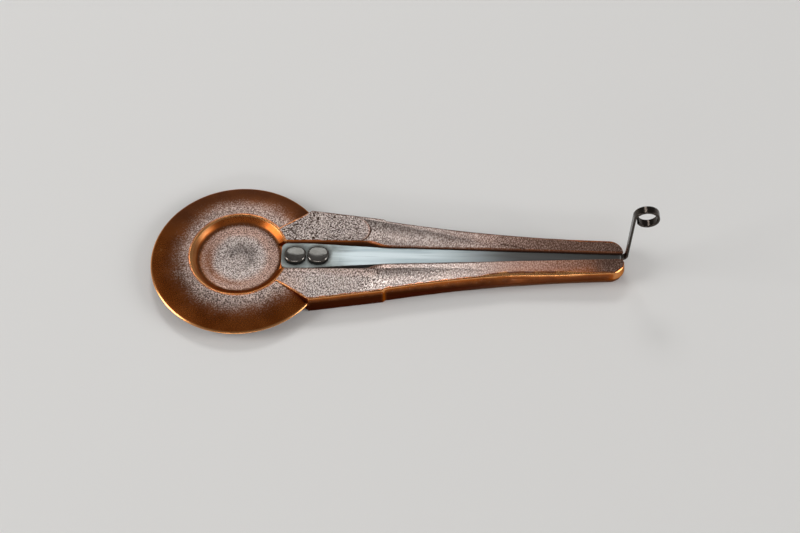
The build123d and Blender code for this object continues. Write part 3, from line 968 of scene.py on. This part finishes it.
def plus(a, b, clamp=False):
    return calc("ADD", a, b, clamp)


def minus(a, b, clamp=False):
    return calc("SUBTRACT", a, b, clamp)


def tint(amount, a, b):
    a, b = ((*c, 1) if isinstance(c, tuple) else c for c in (a, b))
    return node(amount.id_data, "Mix", {0: amount, 6: a, 7: b}, data_type="RGBA").outputs[2]


def level(value, low, high, toLow=0.0, toHigh=1.0):
    limits = {0: value, 1: low, 2: high, 3: toLow, 4: toHigh}
    return node(value.id_data, "MapRange", limits, interpolation_type="SMOOTHSTEP").outputs[0]


def bumpy(height, tone):
    bumps = {"Strength": tone["bumpStrength"], "Distance": tone["bumpHeight"], "Height": height}
    return node(height.id_data, "Bump", bumps).outputs[0]


def mask(tree, name):
    return node(tree, "Attribute", attribute_name=name).outputs["Fac"]


def grain(tree, scale, detail=2.0, rough=0.5, distort=0.0, stretch=(1, 1, 1), turn=0.0):
    place = node(tree, "TexCoord").outputs["Object"]
    if stretch != (1, 1, 1):  # turned first and stretched after, so that the strokes lean
        turned = {"Vector": place, "Rotation": (0, 0, turn), "Scale": [1 / s for s in stretch]}
        place = node(tree, "Mapping", turned, vector_type="TEXTURE").outputs[0]
    made = node(tree, "TexNoise", {"Vector": place, "Scale": scale, "Detail": detail, "Roughness": rough,
                                   "Distortion": distort})
    return made.outputs["Fac"]


bronze = {
    "brown": ((0.135, 0.042, 0.012), (0.20, 0.063, 0.018)),
    "plum": (0.085, 0.045, 0.032),
    "copper": ((0.41, 0.096, 0.014), (0.55, 0.145, 0.026)),
    "brightCopper": (0.86, 0.39, 0.145),
    "grey": ((0.36, 0.302, 0.282), (0.46, 0.385, 0.352)),
    "rose": ((0.33, 0.205, 0.163), (0.42, 0.26, 0.205)),
    "glint": (0.79, 0.71, 0.66), "roseGlint": (0.70, 0.50, 0.42),
    "pit": (0.04, 0.024, 0.018),
    "dirtAndShade": (0.032, 0.0125, 0.0075), "deepBrown": (0.052, 0.011, 0.0035),
    "spotScale": 2900, "domeScale": 3600, "strokeScale": 2900, "fineScale": 7000, "broadScale": 220,
    "pockScale": 2300, "clusterScale": 330, "strokeStretch": (1.6, 0.75, 1), "strokeTurn": -0.35,
    # where on the noise a pit, a glint, a pock and a cluster of pocks begin and are full
    "pitAt": (0.515, 0.585), "glintAt": (0.485, 0.4), "pockAt": (0.565, 0.605), "clusterAt": (0.38, 0.52),
    "shineAt": (0.84, 1.0), "roughBrown": 0.33, "roughGrey": 0.35, "polish": 0.1, "ragged": 1.3,
    "grazing": (0.7, 0.45, 0.3), "bumpHeight": 0.00012, "bumpStrength": 0.6, "pockDepth": 0.25,
}


def bronzeGrain(tree):
    # the cast texture of each region, and the pocks of the shoulder
    tone = bronze
    forkSpots = grain(tree, tone["spotScale"], 3.0, 0.65)
    discSpots = grain(tree, tone["domeScale"], 2.0, 0.6)
    spots = tint(mask(tree, "onDisc"), forkSpots, discSpots)
    strokes = grain(tree, tone["strokeScale"], 1.5, 0.5, 0.2, tone["strokeStretch"], tone["strokeTurn"])
    texture = tint(mask(tree, "hatch"), spots, strokes)
    pocks = level(grain(tree, tone["pockScale"], 1.0, 0.5), *tone["pockAt"])
    pocks = times(pocks, level(grain(tree, tone["clusterScale"]), *tone["clusterAt"]))
    return texture, times(pocks, mask(tree, "pocked"))


def bronzeFinish():
    material, tree, shader = finish("castBronze")
    tone = bronze
    names = ("rubbedAndHighlight", "greySkinAndSheen", "dirtAndShade", "plum", "speckle", "rose", "shade")
    rubbedAndHighlight, grey, dirtAndShade, plum, speckle, rose, shade = (mask(tree, name) for name in names)
    texture, pocks = bronzeGrain(tree)
    fine = grain(tree, tone["fineScale"], 1.0, 0.5)
    patchy = level(grain(tree, tone["broadScale"], 3.0, 0.55), 0.35, 0.65)
    # brown or plum ground, with the grey skin and its painted sheen over it, painted glints on the grains,
    # and dark pits
    ground = tint(plum, tint(patchy, *tone["brown"]), tone["plum"])
    skin = tint(rose, tint(patchy, *tone["grey"]), tint(patchy, *tone["rose"]))
    # glints on the grains: painted highlights
    glint = times(level(texture, *tone["glintAt"]), speckle)
    skin = tint(glint, skin, tint(rose, tone["glint"], tone["roseGlint"]))
    ragged = times(minus(0.5, texture), tone["ragged"])
    keep = level(plus(grey, ragged), 0.05, 0.95)
    pit = times(calc("MAXIMUM", level(texture, *tone["pitAt"]), pocks), speckle)
    pit = times(pit, calc("MAXIMUM", keep, times(plum, 0.85)))
    colour = tint(pit, tint(keep, ground, skin), tone["pit"])
    # bare copper and painted copper highlights, brightest where that mask is highest, then painted shade, and
    # dirt together with painted shade
    copper = tint(patchy, *tone["copper"])
    # the top of the mask turns bright copper: mostly painted highlights
    bare = tint(level(rubbedAndHighlight, *tone["shineAt"]), copper, tone["brightCopper"])
    colour = tint(times(rubbedAndHighlight, level(fine, 0.3, 0.5, 0.8, 1.0)), colour, bare)
    # painted shade: deep brown low on the sides and on the far dome
    colour = tint(shade, colour, tone["deepBrown"])
    colour = tint(times(dirtAndShade, 0.85), colour, tone["dirtAndShade"])
    metal = minus(level(rubbedAndHighlight, 0.1, 0.7, 0.85, 1.0), times(dirtAndShade, 0.5))
    metal = minus(metal, times(mask(tree, "slotWall"), 0.6), True)
    rough = level(grey, 0.0, 1.0, tone["roughBrown"], tone["roughGrey"])
    rough = minus(rough, times(rubbedAndHighlight, tone["polish"]))
    rough = plus(rough, times(minus(fine, 0.5), 0.15))
    rough = plus(rough, times(dirtAndShade, 0.25), True)
    height = minus(times(texture, -1.0), times(pocks, tone["pockDepth"]))
    height = times(height, level(grey, 0.0, 0.8, 0.05, 1.0))
    plug(shader, {
        "Base Color": colour, "Metallic": calc("MAXIMUM", metal, shade), "Roughness": rough,
        "Specular Tint": (*tone["grazing"], 1), "Normal": bumpy(height, tone),
    })
    return material


steel = {
    "bright": ((0.35, 0.41, 0.43), (0.49, 0.55, 0.565)), "line": (0.23, 0.28, 0.3),
    "tip": (0.058, 0.051, 0.046), "trigger": (0.055, 0.045, 0.038),
    "dull": ((0.17, 0.19, 0.185), (0.27, 0.295, 0.285)),
    "grimeAndShadow": (0.055, 0.052, 0.047), "edge": (0.42, 0.44, 0.43),
    # millimetres along the reed where dull heel, dark tip and dark trigger begin and are full (the dark tip
    # is a painted dark reflection, the trigger darker steel with a painted dark reflection), then the reach
    # of the grime and painted shadow round a rivet
    "heelAt": (25.5, 18), "tipAt": (40, 60), "triggerAt": (79, 82), "stainAndShadowAt": (3.5, 2.3),
    "streak": 12, "brushed": 0.6, "rough": 0.4, "roughHeel": 0.42, "triggerPolish": 0.22,
    "bumpHeight": 0.00002, "bumpStrength": 0.3,
    "rivetRim": (0.22, 0.2, 0.18), "rivet": ((0.056, 0.05, 0.044), (0.08, 0.074, 0.067)),
    "rivetSheen": (0.82, 0.98, 0.95), "rivetShine": 0.12, "rivetRough": (0.07, 0.13),
}


def rivetStainAndShadow(tree, along, across, cloud):
    # grime and a painted shadow round each rivet head: 1 beside a rivet, fading with a cloudy edge, from the
    # least distance to a rivet's middle
    rings = []
    for centre in rivets["places"].values():
        spread = node(tree, "CombineXYZ", {0: minus(along, centre), 1: across}).outputs[0]
        rings.append(node(tree, "VectorMath", {0: spread}, operation="LENGTH").outputs["Value"])
    ring = plus(calc("MINIMUM", *rings), minus(cloud, 0.5))
    stainAndShadowMask = level(ring, *steel["stainAndShadowAt"])
    return times(stainAndShadowMask, level(cloud, 0.3, 0.6, 0.5, 0.95))


def reedFinish():
    material, tree, shader = finish("springSteel")
    tone = steel
    spot = node(tree, "SeparateXYZ", {0: node(tree, "UVMap", uv_map="along").outputs[0]}).outputs
    across = times(spot["X"], reed["mapStep"])
    along = minus(times(spot["Y"], reed["mapStep"]), reed["top"])
    lines = grain(tree, 60, 3.0, 0.7, 0.0, (1, 90, 90))
    broadLines = grain(tree, 25, 2.0, 0.5, 0.0, (1.5, 26, 26))
    cloud = grain(tree, 420, 3.0, 0.6)
    streaky = plus(along, times(minus(broadLines, 0.5), tone["streak"]))
    heel, tip = level(streaky, *tone["heelAt"]), level(streaky, *tone["tipAt"])
    raised = level(along, *tone["triggerAt"])
    colour = tint(level(broadLines, 0.35, 0.65), *tone["bright"])
    colour = tint(level(lines, 0.55, 0.75), colour, tone["line"])
    # the tip painted dark as a painted reflection, and the trigger darker steel with a painted dark
    # reflection
    colour = tint(times(tip, 0.9), colour, tone["tip"])
    colour = tint(raised, colour, tone["trigger"])
    colour = tint(heel, colour, tint(level(cloud, 0.35, 0.65), *tone["dull"]))
    # grime and painted shadow round the rivet heads
    colour = tint(rivetStainAndShadow(tree, along, across, cloud), colour, tone["grimeAndShadow"])
    # the eased edges painted lighter: a painted highlight
    colour = tint(times(mask(tree, "edge"), 0.7), colour, tone["edge"])
    tangent = node(tree, "Tangent", direction_type="UV_MAP", uv_map="along").outputs[0]
    rough = plus(level(heel, 0, 1, tone["rough"], tone["roughHeel"]), times(lines, 0.08))
    rough = minus(rough, times(raised, tone["triggerPolish"]))
    plug(shader, {
        "Base Color": colour, "Metallic": 1, "Roughness": rough, "Anisotropic": tone["brushed"],
        "Tangent": tangent, "Normal": bumpy(tint(heel, lines, cloud), tone),
    })
    return material


def rivetFinish():
    material, tree, shader = finish("rivetSteel")
    rim = mask(tree, "rim")
    cloud = grain(tree, 700, 3.0, 0.6)
    colour = tint(level(cloud, 0.35, 0.65), *steel["rivet"])
    # the rolled rim painted lighter: a painted highlight
    plug(shader, {
        "Base Color": tint(rim, colour, steel["rivetRim"]), "Metallic": level(rim, 0.0, 1.0, 0.25, 1.0),
        "Roughness": level(cloud, 0.3, 0.7, *steel["rivetRough"]),
        "Specular IOR Level": steel["rivetShine"], "Specular Tint": (*steel["rivetSheen"], 1),
    })
    return material


def dress(piece, material):
    piece.data.materials.clear()
    piece.data.materials.append(material)


def seenRays(tree):
    # 1 where a ray is looked along, mirrored or let through, and 0 where it carries light
    path = node(tree, "LightPath").outputs
    seen = plus(path["Is Camera Ray"], path["Is Glossy Ray"], True)
    return plus(seen, path["Is Transmission Ray"], True)


def floorFinish():
    # pale paper; far out it fades into the tone of the backdrop's foot
    material, tree, shader = finish("paleFloor")
    darker = tuple(0.985 * part for part in stage["floorColour"])
    tone = tint(grain(tree, 6, 3.0, 0.5), darker, stage["floorColour"])
    reach = node(tree, "VectorMath", {0: node(tree, "TexCoord").outputs["Object"]}, operation="LENGTH")
    away = level(reach.outputs["Value"], *stage["floorFade"])
    plug(shader, {
        "Base Color": tint(away, tone, (0.0, 0.0, 0.0)), "Emission Color": (*stage["paper"], 1),
        "Emission Strength": times(times(away, seenRays(tree)), stage["worldHorizon"]),
        "Specular IOR Level": stage["floorShine"], "Roughness": stage["floorRough"],
    })
    return material


def studioWorld():
    # a dim even light; where it is looked at or mirrored it is pale at the horizon and dark overhead
    world = bpy.data.worlds.new("studio")
    world.use_nodes = True
    tree = world.node_tree
    high = node(tree, "SeparateXYZ", {0: node(tree, "TexCoord").outputs["Generated"]}).outputs["Z"]
    backdrop = level(high, *stage["worldRise"], stage["worldHorizon"], stage["worldOverhead"])
    strength = node(tree, "MapRange", {0: seenRays(tree), 3: stage["worldLight"], 4: backdrop}).outputs[0]
    plug(tree.nodes["Background"], {"Color": (*stage["paper"], 1), "Strength": strength})
    return world


scene.world = studioWorld()
dress(floor, floorFinish())
dress(castFrame, bronzeFinish())
dress(springReed, reedFinish())
rivetMaterial = rivetFinish()
for piece in rivetPieces.values():
    dress(piece, rivetMaterial)
print("finishes set")
